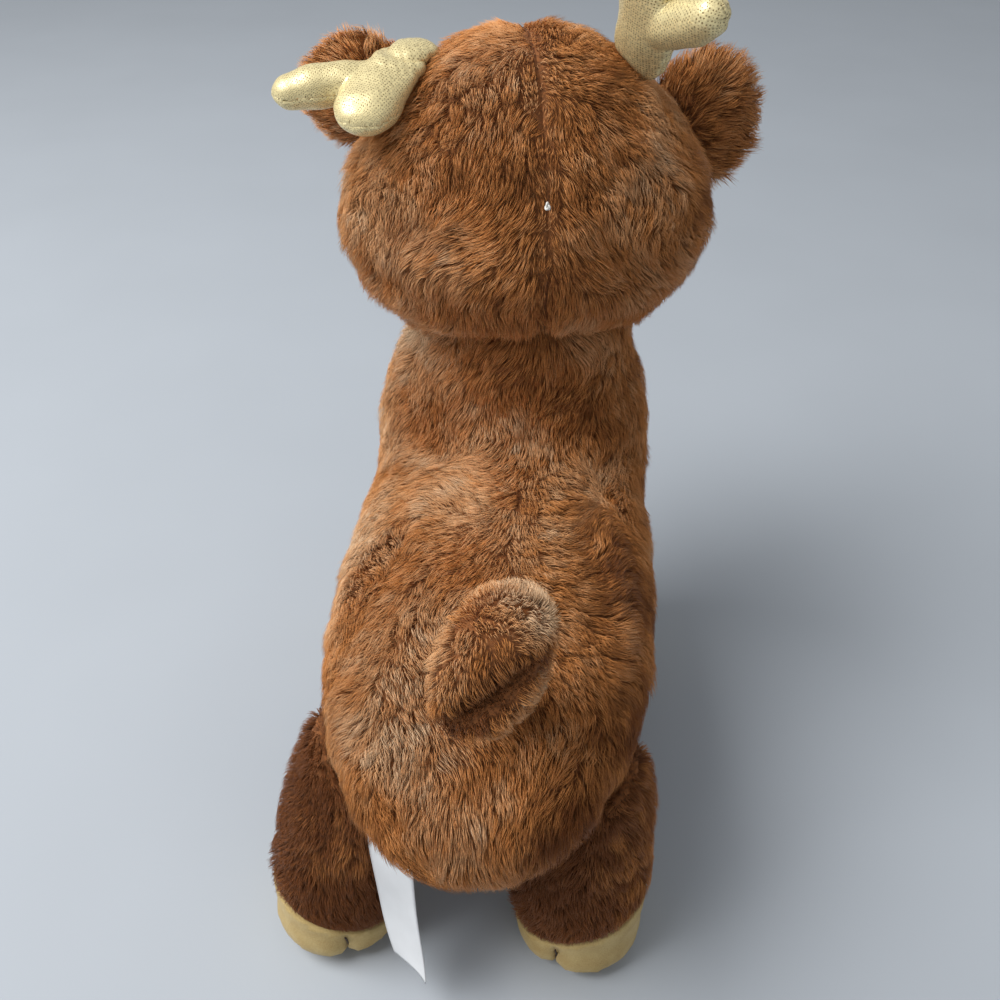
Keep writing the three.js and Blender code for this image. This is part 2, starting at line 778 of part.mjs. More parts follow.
const torsoInflated = torsoForm(-hingeGap);
const headInflated = stuffed(skull, -hingeGap);
const neckSocket = moved(neckBall(-neckBallGap), headPose.clone().invert());
const neckSpace = sweptAway(torsoBelowNeck(-hingeGap), headPose, alongX, headNod).add(neckSocket);

const headGroup = group(headPose, head(neckSpace));
for (const [name, seat] of Object.entries(earSeats)) {
  headGroup.add(group(earPose(seat), ear(name, seat, headInflated)));
}
for (const [name, seat] of Object.entries(antlerSeats)) {
  headGroup.add(group(antlerPose(seat), antler(name, seat, headInflated)));
}

const hipHeight = { rear: bodyMidHeight - rearHipDrop, front: bodyMidHeight - frontHipDrop };
const hips = {
  leg_rear_left: new THREE.Vector3(bodyX + rearLeftHipX, rumpY - rearHipInset, hipHeight.rear),
  leg_rear_right: new THREE.Vector3(bodyX + rearRightHipX, rumpY - rearHipInset, hipHeight.rear),
  leg_front_left: new THREE.Vector3(bodyX + frontHipX, neckY + frontHipReach, hipHeight.front),
  leg_front_right: new THREE.Vector3(bodyX - frontHipX, neckY + frontHipReach, hipHeight.front),
};
const feet = {
  leg_rear_left: [rearLeftFootX, rearLeftFootReach],
  leg_rear_right: [rearRightFootX, rearRightFootReach],
  leg_front_left: [frontFootX, frontFootReach],
  leg_front_right: [-frontFootX, frontFootReach],
};

const standing = new THREE.Group();
standing.add(...torso(), headGroup);
for (const [name, hip] of Object.entries(hips)) {
  const [footX, reach] = feet[name];
  const pieces = leg(name, hip, new THREE.Vector3(bodyX + footX, hip.y + reach, 0), torsoInflated);
  standing.add(group(new THREE.Matrix4().setPosition(hip), pieces));
}
standing.add(group(tailPose, tailPieces(torsoInflated)));
standing.add(group(labelPose, label(torsoInflated)));

// The origin is the middle of the toy's footprint, on the surface that it stands on
standing.updateMatrixWorld(true);
const middle = new THREE.Box3().setFromObject(standing, true).getCenter(new THREE.Vector3());
standing.position.set(-middle.x, -middle.y, 0);
const deer = new THREE.Group();
deer.add(standing);

export default deer;
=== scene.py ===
"""A standing plush deer: clumped pile fur, velour hooves, gold knit antlers and an upright tail.

Metres, +Z up. The face looks towards -Y, the tail stands at +Y and the deer's left is +X.
"""
import json
import math

import bpy
import numpy as np
from bpy.props import FloatProperty, FloatVectorProperty, PointerProperty
from mathutils import Matrix, Vector
from mathutils.bvhtree import BVHTree
from mathutils.kdtree import KDTree


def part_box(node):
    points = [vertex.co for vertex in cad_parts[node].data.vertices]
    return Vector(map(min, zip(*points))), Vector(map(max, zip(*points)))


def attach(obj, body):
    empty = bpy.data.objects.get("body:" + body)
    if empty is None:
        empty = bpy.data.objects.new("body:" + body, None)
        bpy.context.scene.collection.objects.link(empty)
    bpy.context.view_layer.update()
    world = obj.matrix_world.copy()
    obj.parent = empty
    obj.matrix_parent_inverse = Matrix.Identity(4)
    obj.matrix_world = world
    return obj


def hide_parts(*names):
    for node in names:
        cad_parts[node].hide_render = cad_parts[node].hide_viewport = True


bl_info = {
    "name": "Plush deer",
    "version": (1, 0, 0),
    "blender": (4, 5, 0),
    "location": "View3D > Sidebar > Plush deer",
    "description": "Dresses a stuffed deer in pile fur, velour and gold knit",
    "category": "Object",
}

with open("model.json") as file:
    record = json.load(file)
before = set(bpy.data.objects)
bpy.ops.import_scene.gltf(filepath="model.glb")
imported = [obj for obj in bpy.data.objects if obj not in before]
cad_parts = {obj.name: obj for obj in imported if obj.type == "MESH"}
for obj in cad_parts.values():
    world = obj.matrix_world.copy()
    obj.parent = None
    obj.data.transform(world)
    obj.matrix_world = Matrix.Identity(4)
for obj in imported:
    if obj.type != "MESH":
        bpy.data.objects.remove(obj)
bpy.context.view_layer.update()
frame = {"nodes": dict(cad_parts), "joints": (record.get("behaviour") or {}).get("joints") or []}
UP = np.array([0.0, 0.0, 1.0])

LEGS = ("leg_rear_left", "leg_rear_right", "leg_front_left", "leg_front_right")
EARS = ("ear_left", "ear_right")
ANTLERS = ("antler_left", "antler_right")


def setting(kind, **limits):
    """Makes the properties of one kind: each has a name, a description and a default."""
    def made(name, text, default):
        return kind(name=name, description=text, default=default, **limits)
    return made


number = setting(FloatProperty)
size = setting(FloatProperty, subtype="DISTANCE")
radians = setting(FloatProperty, subtype="ANGLE")
share = setting(FloatProperty, min=0.0, max=1.0, subtype="FACTOR")
power = setting(FloatProperty, subtype="POWER")
colour = setting(FloatVectorProperty, size=3, min=0.0, max=1.0, subtype="COLOR")


def angle(name, text, degrees):
    return radians(name, text, math.radians(degrees))


class DeerPile(bpy.types.PropertyGroup):
    """Sizes of the pile fur."""

    length: size("Length", "Length of a tuft of pile", 0.009)
    width: size("Width", "Half width of a tuft at its root", 0.00016)
    density: number("Density", "Bent tufts on a square centimetre", 122.0)
    under: number("Under pile", "Straight tufts to each bent one", 0.8)
    root_lift: angle("Root lift", "How steeply a tuft leaves the cloth", 44)
    tip_lift: angle("Tip lift", "How steeply its outer half rises", 8)
    clump: size("Clump", "Distance between clumps of tufts", 0.0045)
    pull: share("Pull", "How much the tufts of a clump lean together", 0.36)
    swirl: angle("Swirl", "How far the pile turns from its nap", 46)
    swirl_size: size("Swirl size", "Distance over which the pile turns", 0.04)


class DeerCloth(bpy.types.PropertyGroup):
    """Sizes of the cloth under the pile, of the velour and of the knit."""

    grain: size("Grain", "Face size of the body cloth", 0.003)
    fine_grain: size("Fine grain", "Face size of small pieces", 0.0016)
    knit_grain: size("Knit grain", "Face size of the antlers", 0.0009)
    rise: size("Rise", "Height of the backing cloth over the filling", 0.0017)
    thickness: size("Thickness", "Thickness of the backing cloth", 0.0014)
    velour_rise: size("Velour rise", "Height of the hoof's velour over the filling", 0.003)
    cleft: size("Cleft", "Depth of the hoof's cleft", 0.0034)
    knit_pitch: size("Knit pitch", "Distance between the rows of the gold knit", 0.00105)
    seam: size("Seam", "Depth of the antler's seam", 0.0009)


class DeerColours(bpy.types.PropertyGroup):
    """Colours of the cloths and trims."""

    pile_dark: colour("Pile shade", "The darkest tufts", (0.27, 0.085, 0.02))
    pile_brown: colour("Pile brown", "Most tufts", (0.77, 0.31, 0.085))
    pile_warm: colour("Pile warm", "Lighter tufts", (0.93, 0.51, 0.24))
    pile_pale: colour("Pile pale", "The lightest tufts", (0.97, 0.67, 0.41))
    # The backing's dark brown is partly its own colour and partly painted shade: it shows only deep
    # between the tufts and in creases, where it stands in for the shade there.
    backing: colour("Backing", "The cloth under the pile", (0.20, 0.07, 0.018))
    velour: colour("Velour", "Hooves, muzzle and ear linings", (0.55, 0.41, 0.18))
    velour_shade: colour("Velour shade", "Worn and shaded velour", (0.42, 0.28, 0.10))
    gold: colour("Gold", "Foil of the knit", (0.95, 0.80, 0.42))
    gold_shade: colour("Gold shade", "Holes between the foil", (0.22, 0.14, 0.045))
    satin: colour("Satin", "The sewn-in label", (0.74, 0.75, 0.76))
    thread: colour("Thread", "Stitches", (0.035, 0.016, 0.008))
    knot: colour("Knot", "The pale knot on the head seam", (0.85, 0.82, 0.75))
    plastic: colour("Plastic", "Eyes and nose", (0.012, 0.009, 0.008))
    washer: colour("Washer", "Washers behind the eyes", (0.8, 0.79, 0.75))
    fill: colour("Filling", "Fibre fill", (0.82, 0.81, 0.78))


class DeerStage(bpy.types.PropertyGroup):
    """The floor, the lamps and the camera."""

    floor: colour("Floor", "Colour of the floor", (0.45, 0.485, 0.525))
    sky: number("Sky", "Strength of the even light", 0.38)
    key: power("Key", "Power of the window light", 48.0)
    fill: power("Fill", "Power of the soft light", 0.7)
    pitch: angle("Pitch", "How far the camera looks down", 39.4)
    turn: angle("Turn", "Where the camera stands round the deer", 185.5)
    lens: number("Lens", "Focal length in millimetres", 35.8)


GROUPS = {
    "deer_pile": DeerPile,
    "deer_cloth": DeerCloth,
    "deer_colours": DeerColours,
    "deer_stage": DeerStage,
}


def sizes(group):
    """One of the deer's property groups in this scene."""
    return getattr(bpy.context.scene, "deer_" + group)


# Materials


class Recipe:
    """A new material with a Principled shader, whose nodes are added by name."""

    def __init__(self, name, **sockets):
        self.material = bpy.data.materials.new(name)
        self.material.use_nodes = True
        self.nodes = self.material.node_tree.nodes
        self.links = self.material.node_tree.links
        self.shader = self.nodes["Principled BSDF"]
        for key, value in sockets.items():
            self.shader.inputs[key.replace("_", " ")].default_value = value

    def add(self, kind, settings=None, **sockets):
        """A node. A socket is named by its name, or by i and its number."""
        node = self.nodes.new("ShaderNode" + kind)
        for key, value in (settings or {}).items():
            setattr(node, key, value)
        for key, value in sockets.items():
            numbered = key[0] == "i" and key[1:].isdigit()
            target = node.inputs[int(key[1:]) if numbered else key.replace("_", " ")]
            if isinstance(value, bpy.types.NodeSocket):
                self.links.new(value, target)
            else:
                target.default_value = value
        return node

    def ramp(self, factor, stops):
        node = self.add("ValToRGB", i0=factor)
        points = node.color_ramp.elements
        while len(points) < len(stops):
            points.new(0.5)
        for point, (place, tint) in zip(points, stops):
            point.position = place
            point.color = (*tint, 1.0) if hasattr(tint, "__len__") else (tint, tint, tint, 1.0)
        return node.outputs["Color"]

    def mix(self, factor, first, second, way="MIX"):
        settings = {"data_type": "RGBA", "blend_type": way}
        return self.add("Mix", settings, i0=factor, i6=first, i7=second).outputs[2]

    def math(self, way, first, second=0.0):
        return self.add("Math", {"operation": way}, i0=first, i1=second).outputs[0]

    def cells(self, layer):
        return self.add("UVMap", {"uv_map": layer}).outputs["UV"]

    def noise(self, scale, detail=2.0):
        place = self.add("TexCoord").outputs["Object"]
        return self.add("TexNoise", Vector=place, Scale=scale, Detail=detail).outputs["Fac"]

    def paint(self, tint, socket="Base Color"):
        self.links.new(tint, self.shader.inputs[socket])

    def bump(self, height, strength, distance):
        node = self.add("Bump", Height=height, Strength=strength, Distance=distance)
        self.paint(node.outputs["Normal"], "Normal")


def shade(tint, level):
    return [level * part for part in tint]


def pile_material(name):
    """Pile tufts: the first texture coordinate is a tuft's tone, the second runs up to its tip,
    where it gives painted shade at the root and a painted highlight at the tip.
    """
    tints = sizes("colours")
    mix = Recipe(name, Roughness=0.5, Specular_IOR_Level=0.25, Sheen_Weight=0.05,
                 Sheen_Roughness=0.35, Sheen_Tint=(0.95, 0.68, 0.5, 1.0))
    split = mix.add("SeparateXYZ", Vector=mix.cells("OFBake"))
    stops = [(0.0, tints.pile_dark), (0.38, tints.pile_brown)]
    stops += [(0.74, tints.pile_warm), (1.0, tints.pile_pale)]
    tone = mix.ramp(split.outputs["X"], stops)
    # Painted shade deep in the pile at the roots, and a painted highlight at the tips.
    depth = mix.ramp(split.outputs["Y"], [(0.0, 0.38), (0.45, 0.8), (1.0, 1.06)])
    mix.paint(mix.mix(1.0, tone, depth, "MULTIPLY"))
    return mix.material


def velour_material(name):
    """Short napped velour with brushed patches and rubbed high spots."""
    tints = sizes("colours")
    mix = Recipe(name, Roughness=0.85, Specular_IOR_Level=0.2, Sheen_Weight=0.2,
                 Sheen_Roughness=0.4, Sheen_Tint=(1.0, 0.93, 0.8, 1.0))
    nap = mix.noise(1500.0, 4.0)
    brushed = mix.noise(95.0, 3.0)
    both = mix.math("ADD", mix.math("MULTIPLY", nap, 0.45), mix.math("MULTIPLY", brushed, 0.55))
    mix.paint(mix.ramp(both, [(0.34, tints.velour_shade), (0.62, tints.velour)]))
    mix.bump(nap, 0.5, 0.0005)
    return mix.material


def knit_material(name):
    """Gold foil on knit: rows of pin holes, which follow the flat pattern of the panel."""
    tints = sizes("colours")
    mix = Recipe(name, Metallic=0.3, Specular_IOR_Level=0.6)
    cell = mix.cells("Knit")
    holes = mix.add("TexVoronoi", {"feature": "F1"}, Vector=cell, Scale=1.0, Randomness=0.25)
    glint = mix.add("TexNoise", Vector=cell, Scale=0.9, Detail=4.0).outputs["Fac"]
    foil = mix.ramp(holes.outputs["Distance"], [(0.17, 0.0), (0.31, 1.0)])
    tint = mix.ramp(glint, [(0.34, shade(tints.gold, 0.66)), (0.6, tints.gold)])
    mix.paint(mix.mix(foil, (*tints.gold_shade, 1.0), tint))
    mix.paint(mix.ramp(glint, [(0.35, 0.5), (0.6, 0.3)]), "Roughness")
    mix.bump(mix.math("ADD", foil, mix.math("MULTIPLY", glint, 0.8)), 0.3, 0.0002)
    return mix.material


def satin_material(name):
    """White satin tape: fine warp threads with a soft gloss."""
    tint = sizes("colours").satin
    mix = Recipe(name, Roughness=0.42, Specular_IOR_Level=0.45)
    split = mix.add("SeparateXYZ", Vector=mix.cells("Weave"))
    warp = mix.math("SINE", mix.math("MULTIPLY", split.outputs["X"], 18000.0))
    weft = mix.math("SINE", mix.math("MULTIPLY", split.outputs["Y"], 9000.0))
    weave = mix.math("ADD", mix.math("MULTIPLY", warp, 0.35), mix.math("MULTIPLY", weft, 0.15))
    mix.paint(mix.ramp(mix.noise(60.0), [(0.3, shade(tint, 0.9)), (0.7, tint)]))
    mix.bump(weave, 0.25, 0.0001)
    return mix.material


def plastic_material(name):
    """Polished black plastic with the faint waviness of a moulding."""
    tint = sizes("colours").plastic
    mix = Recipe(name, Coat_Weight=0.6, Coat_Roughness=0.05)
    cloud = mix.noise(260.0, 3.0)
    mix.paint(mix.ramp(cloud, [(0.3, tint), (0.7, shade(tint, 1.6))]))
    mix.paint(mix.math("ADD", 0.1, mix.math("MULTIPLY", cloud, 0.12)), "Roughness")
    return mix.material


def mottled_material(name, tint, scale, detail, stops, relief, **sockets):
    """One tint that fine noise mottles between shades of it, with a relief where one is given."""
    mix = Recipe(name, **sockets)
    cloud = mix.noise(scale, detail)
    mix.paint(mix.ramp(cloud, [(place, shade(tint, level)) for place, level in stops]))
    if relief:
        mix.bump(cloud, *relief)
    return mix.material


RECIPES = {
    "pile": pile_material,
    "velour": velour_material,
    "knit": knit_material,
    "satin": satin_material,
    "plastic": plastic_material,
}
# Noise scale and detail, places and levels of the shades, strength and depth of relief, roughness
MOTTLED = {
    "backing": (900.0, 3.0, ((0.3, 0.6), (0.7, 1.5)), (0.4, 0.0004), 0.95),
    "thread": (1400.0, 2.0, ((0.35, 0.6), (0.65, 1.7)), (0.5, 0.0002), 0.7),
    "knot": (1400.0, 2.0, ((0.35, 0.75), (0.65, 1.0)), None, 0.7),
    "washer": (500.0, 2.0, ((0.3, 0.85), (0.7, 1.0)), None, 0.45),
    "fill": (420.0, 6.0, ((0.3, 0.7), (0.65, 1.0)), (0.9, 0.0015), 1.0),
}
made_materials = {}


def material(finish):
    """The material of a finish, made once."""
    if finish not in made_materials:
        name = "deer_" + finish
        if finish in RECIPES:
            made_materials[finish] = RECIPES[finish](name)
        else:
            *mottling, rough = MOTTLED[finish]
            tint = getattr(sizes("colours"), finish)
            made_materials[finish] = mottled_material(name, tint, *mottling, Roughness=rough)
    return made_materials[finish]


def finished(piece, finish, body, *nodes):
    """Gives a piece its finish, its body and the nodes that it stands for."""
    piece.data.materials.clear()
    piece.data.materials.append(material(finish))
    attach(piece, body)
    if nodes:
        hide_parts(*nodes)


# Mesh helpers


def new_piece(name, mesh):
    piece = bpy.data.objects.new(name, mesh)
    bpy.context.scene.collection.objects.link(piece)
    return piece


def shade_smooth(mesh):
    mesh.polygons.foreach_set("use_smooth", np.ones(len(mesh.polygons), bool))


def shape_piece(name, points, faces):
    """A piece made of points and faces."""
    mesh = bpy.data.meshes.new(name)
    mesh.from_pydata([tuple(p) for p in points], [], [tuple(int(i) for i in f) for f in faces])
    mesh.validate()
    shade_smooth(mesh)
    return new_piece(name, mesh)


def points_of(mesh):
    points = np.empty(len(mesh.vertices) * 3)
    mesh.vertices.foreach_get("co", points)
    return points.reshape(-1, 3)


def node_points(node):
    return points_of(frame["nodes"][node].data)


def rounded(name, nodes, grain, rounds):
    """The nodes' solids as one even mesh with soft edges."""
    points, faces = [], []
    for node in nodes:
        mesh = frame["nodes"][node].data
        start = len(points)
        points.extend(v.co.copy() for v in mesh.vertices)
        faces.extend([start + i for i in p.vertices] for p in mesh.polygons)
    piece = shape_piece(name, points, faces)
    weld = piece.modifiers.new("weld", "WELD")
    weld.merge_threshold = 1e-6
    even = piece.modifiers.new("even", "REMESH")
    even.mode = "VOXEL"
    even.voxel_size = grain
    soft = piece.modifiers.new("soft", "SMOOTH")
    soft.factor = 0.5
    soft.iterations = rounds
    seen = piece.evaluated_get(bpy.context.evaluated_depsgraph_get())
    old, piece.data = piece.data, bpy.data.meshes.new_from_object(seen)
    piece.modifiers.clear()
    bpy.data.meshes.remove(old)
    piece.data.name = name
    shade_smooth(piece.data)
    return piece


def unit(vectors):
    return vectors / np.maximum(np.linalg.norm(vectors, axis=-1, keepdims=True), 1e-9)


def to_neighbours(points, edges):
    """The way from each point to the middle of those that edges tie it to."""
    count = len(points)
    first, second = edges.T
    total = np.stack([
        np.bincount(first, line[second], count) + np.bincount(second, line[first], count)
        for line in points.T
    ], 1)
    return total / np.bincount(edges.ravel(), minlength=count)[:, None] - points


class Surface:
    """A closed mesh's points, normals and faces as arrays."""

    def __init__(self, mesh):
        self.points = points_of(mesh)
        self.faces = [tuple(p.vertices) for p in mesh.polygons]
        self.edges = np.array([tuple(e.vertices) for e in mesh.edges])
        self.refresh()

    def refresh(self):
        """Finds the normals again after the points have moved."""
        total = np.zeros_like(self.points)
        for sides in (3, 4):
            rings = np.array([f for f in self.faces if len(f) == sides])
            if len(rings):
                a, b, c, d = (self.points[rings[:, k]] for k in (0, 1, 2, sides - 1))
                across = np.cross(c - a, d - b) if sides == 4 else np.cross(b - a, c - a)
                for column in range(sides):
                    for k in range(3):
                        total[:, k] += np.bincount(rings[:, column], across[:, k], len(total))
        self.normals = unit(total)
        self.tree = BVHTree.FromPolygons([Vector(p) for p in self.points], self.faces)

    def soften(self, weights, rounds):
        """Relaxes the surface where the weights say, so that a step there gets a soft slope."""
        for _ in range(rounds):
            self.points += 0.5 * weights[:, None] * to_neighbours(self.points, self.edges)
        self.refresh()

    def centres(self):
        return np.array([self.points[list(f)].mean(0) for f in self.faces])

    def raised(self, rise):
        return self.points + self.normals * np.asarray(rise)[..., None]


# For each body: the nodes whose solids make its filling, their grain and the rounds of smoothing
BODY_FILLS = {
    "torso": (["torso_stuffing"], "grain", 14),
    "head": (["head_stuffing"], "grain", 8),
    "tail": (["tail_stuffing"], "fine_grain", 8),
    **{leg: ([leg + "_stuffing"], "grain", 5) for leg in LEGS},
    **{ear: ([ear + "_back", ear + "_lining"], "fine_grain", 5) for ear in EARS},
    **{antler: ([antler + "_stuffing"], "knit_grain", 30) for antler in ANTLERS},
}
surfaces = {}


def surface_of(body):
    """The smooth surface of a body's filling, made once."""
    if body not in surfaces:
        nodes, grain, rounds = BODY_FILLS[body]
        piece = rounded(body + "_shape", nodes, getattr(sizes("cloth"), grain), rounds)
        mesh = piece.data
        surfaces[body] = Surface(mesh)
        bpy.data.objects.remove(piece)
        bpy.data.meshes.remove(mesh)
    return surfaces[body]


def node_tree(node):
    mesh = frame["nodes"][node].data
    return BVHTree.FromPolygons([v.co for v in mesh.vertices], [p.vertices for p in mesh.polygons])


def nearest_node(points, nodes):
    """For each point, the place in nodes of the one that lies nearest."""
    gaps = []
    for node in nodes:
        tree = node_tree(node)
        gaps.append([tree.find_nearest(Vector(p))[3] for p in points])
    return np.argmin(np.array(gaps), axis=0)


def depth_in(points, surface):
    """How deep each point lies inside a closed surface, or a negative distance outside it."""
    depths = np.full(len(points), -1.0)
    low, high = surface.points.min(0), surface.points.max(0)
    for i in np.where(np.all((points > low) & (points < high), axis=1))[0]:
        place, normal, _, gap = surface.tree.find_nearest(Vector(points[i]))
        depths[i] = math.copysign(gap, (place - Vector(points[i])).dot(normal))
    return depths


def two_sided(rings, count):
    """The faces of a closed sheet: rings, the same rings on the points after count, and the rim."""
    faces, edges = [], {}
    for ring in rings:
        faces += [ring, [i + count for i in reversed(ring)]]
        edges.update(dict.fromkeys(zip(ring, ring[1:] + ring[:1])))
    return faces + [[b, a, a + count, b + count] for a, b in edges if (b, a) not in edges]


def lay_cells(mesh, name, cells):
    """Gives both sides of a sheet their points' texture cells."""
    order = np.empty(len(mesh.loops), int)
    mesh.loops.foreach_get("vertex_index", order)
    mesh.uv_layers.new(name=name).data.foreach_set("uv", cells[order % len(cells)].ravel())


def tube(name, path, radius, sides=8):
    """A round thread along a path of points."""
    path = np.array(path)
    ways = unit(np.gradient(path, axis=0))
    aside = unit(np.cross(ways[0], UP + 0.1))
    turns = [2 * math.pi * k / sides for k in range(sides)]
    points, faces = [], []
    for spot, way in zip(path, ways):
        aside = unit(aside - way * (aside @ way))
        over = np.cross(way, aside)
        points += [spot + radius * (aside * math.cos(t) + over * math.sin(t)) for t in turns]
    last = (len(path) - 1) * sides
    for ring in range(0, last, sides):
        for k in range(sides):
            a, b = ring + k, ring + (k + 1) % sides
            faces.append([a, b, b + sides, a + sides])
    faces += [list(range(sides))[::-1], [last + k for k in range(sides)]]
    return shape_piece(name, points, faces)


def padded_fill(body):
    """The filling itself, which the cloth is drawn over."""
    surface = surface_of(body)
    piece = shape_piece(body + "_filling", surface.raised(-0.0002), surface.faces)
    finished(piece, "fill", body, body + "_stuffing")


# Pile

# The most tufts in one piece of the pile, bent ones and straight ones
MOST_BENT, MOST_STRAIGHT = 19000, 47000
MIDDLE_TONE = 0.47
ROOT_DEPTH = 0.0004
# No tuft grows deeper in another body, or nearer to a trimmed edge or a parting
HIDDEN_DEPTH, TRIMMED_GAP, PARTING_GAP = 0.002, 0.0015, 0.001
EAR_RISE, EAR_CLOTH = -0.0003, 0.0005


def waves(points, seed, reach):
    """A smooth random value from about -1 to 1 that changes over that reach."""
    draw = np.random.default_rng(seed)
    total = np.zeros(len(points))
    pace = 2 * math.pi / reach
    for _ in range(7):
        way = draw.normal(size=3)
        way /= np.linalg.norm(way)
        total += np.sin(points @ way * pace * draw.uniform(0.5, 1.25) + draw.uniform(0, 6.3))
    return total / 3.2


def sown(surface, density, draw, rise):
    """Even random places on a surface: points, normals and the faces that they lie on."""
    corners, owners = [], []
    for number, face in enumerate(surface.faces):
        for second in range(1, len(face) - 1):
            corners.append((face[0], face[second], face[second + 1]))
            owners.append(number)
    corners, owners = np.array(corners), np.array(owners)
    a, b, c = (surface.points[corners[:, k]] for k in range(3))
    areas = np.linalg.norm(np.cross(b - a, c - a), axis=1) / 2
    count = int(areas.sum() * density * 1e4)
    chosen = draw.choice(len(corners), size=count, p=areas / areas.sum())
    u, v = draw.random(count), draw.random(count)
    over = u + v > 1
    u[over], v[over] = 1 - u[over], 1 - v[over]
    weights = np.stack([1 - u - v, u, v], 1)[:, :, None]
    points = (surface.points[corners[chosen]] * weights).sum(1)
    normals = unit((surface.normals[corners[chosen]] * weights).sum(1))
    return points + normals * rise, normals, owners[chosen]


TUFT_CORNERS = ((0.0, 1.0), (-0.87, -0.5), (0.87, -0.5))
# For a tuft with one ring and for a bent one with two: its faces' corners, and where each starts
TUFT_FACES = {
    1: ((0, 2, 1, 0, 1, 3, 1, 2, 3, 2, 0, 3), (0, 3, 6, 9)),
    2: (
        (0, 2, 1, 0, 1, 4, 3, 1, 2, 5, 4, 2, 0, 3, 5, 3, 4, 6, 4, 5, 6, 5, 3, 6),
        (0, 3, 7, 11, 15, 18, 21),
    ),
}


def strand_mesh(name, rings, tips, sides, rises, radii, tones, shine):
    """Closed three-sided tufts: a ring at the root, one at the bend of the bent ones, and a tip."""
    count = len(tips)
    size = 3 * len(rings) + 1
    points = np.empty((count, size, 3))
    for ring, (centre, thin) in enumerate(zip(rings, (1.0, 0.72))):
        for k, (x, y) in enumerate(TUFT_CORNERS):
            corner = (sides * x + rises * 0.7 * y) * (radii * thin)[:, None]
            points[:, 3 * ring + k] = centre + corner
    points[:, -1] = tips
    loops, starts = (np.array(part) for part in TUFT_FACES[len(rings)])
    spread = np.array([0.0, -0.004, 0.004] * len(rings) + [0.0])
    along = np.array([0.02] * 3 + [0.5] * 3 * (len(rings) - 1) + [0.98])
    number = np.arange(count)[:, None]
    order = (loops + size * number).ravel()
    mesh = bpy.data.meshes.new(name)
    mesh.vertices.add(count * size)
    mesh.loops.add(count * len(loops))
    mesh.polygons.add(count * len(starts))
    mesh.vertices.foreach_set("co", points.ravel())
    mesh.loops.foreach_set("vertex_index", order)
    mesh.polygons.foreach_set("loop_start", (starts + len(loops) * number).ravel())
    shade_smooth(mesh)
    cells = np.empty((count, size, 2))
    cells[:, :, 0] = np.clip(tones, 0.01, 0.99)[:, None] + spread
    # shine scales how far up the painted root-to-tip shade and highlight ramp a tuft reaches.
    cells[:, :, 1] = along * shine
    layer = mesh.uv_layers.new(name="OFBake")
    layer.data.foreach_set("uv", cells.reshape(-1, 2)[order].ravel())
    mesh.update(calc_edges=True)
    return mesh


def turned(ways, others, angles):
    """Directions, turned by the angles towards others at right angles to them."""
    return ways * np.cos(angles)[:, None] + others * np.sin(angles)[:, None]


